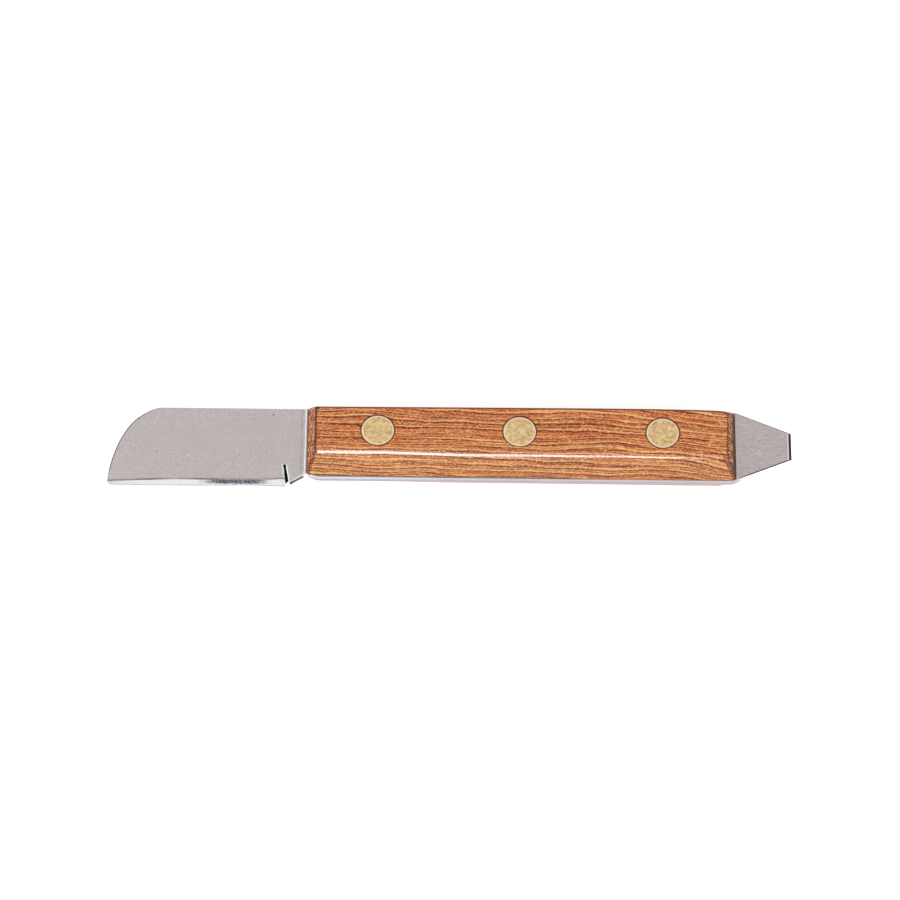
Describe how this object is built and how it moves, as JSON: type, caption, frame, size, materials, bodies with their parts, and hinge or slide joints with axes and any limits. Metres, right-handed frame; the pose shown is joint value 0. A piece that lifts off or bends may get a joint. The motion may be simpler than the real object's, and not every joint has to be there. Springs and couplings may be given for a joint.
{
  "type": "bench knife",
  "caption": "Full-tang bench knife: short straight-edged sheepsfoot blade, riveted wooden scales with bevelled sides and a flat tapered pry tip at the butt.",
  "frame": {"origin": "middle of the bounding box's bottom: the plane of the back scale's flat face, which the knife lies on", "axes": "+X runs along the knife from the blade to the pry tip, +Y is the spine side and -Y the cutting edge, +Z is the normal of the front scale's flat face"},
  "size_m": [0.178, 0.0222, 0.0182],
  "materials": {
    "steel": "satin, with a polished edge bevel",
    "rosewood": "streaked reddish brown, open pores, lacquered",
    "brass": "ground flush, finely scratched"
  },
  "bodies": {
    "root": {"blade_tang": "steel", "front_scale": "rosewood", "back_scale": "rosewood", "blade_end_rivet_male": "brass", "blade_end_rivet_female": "brass", "middle_rivet_male": "brass", "middle_rivet_female": "brass", "pry_end_rivet_male": "brass", "pry_end_rivet_female": "brass"}
  },
  "joints": []
}
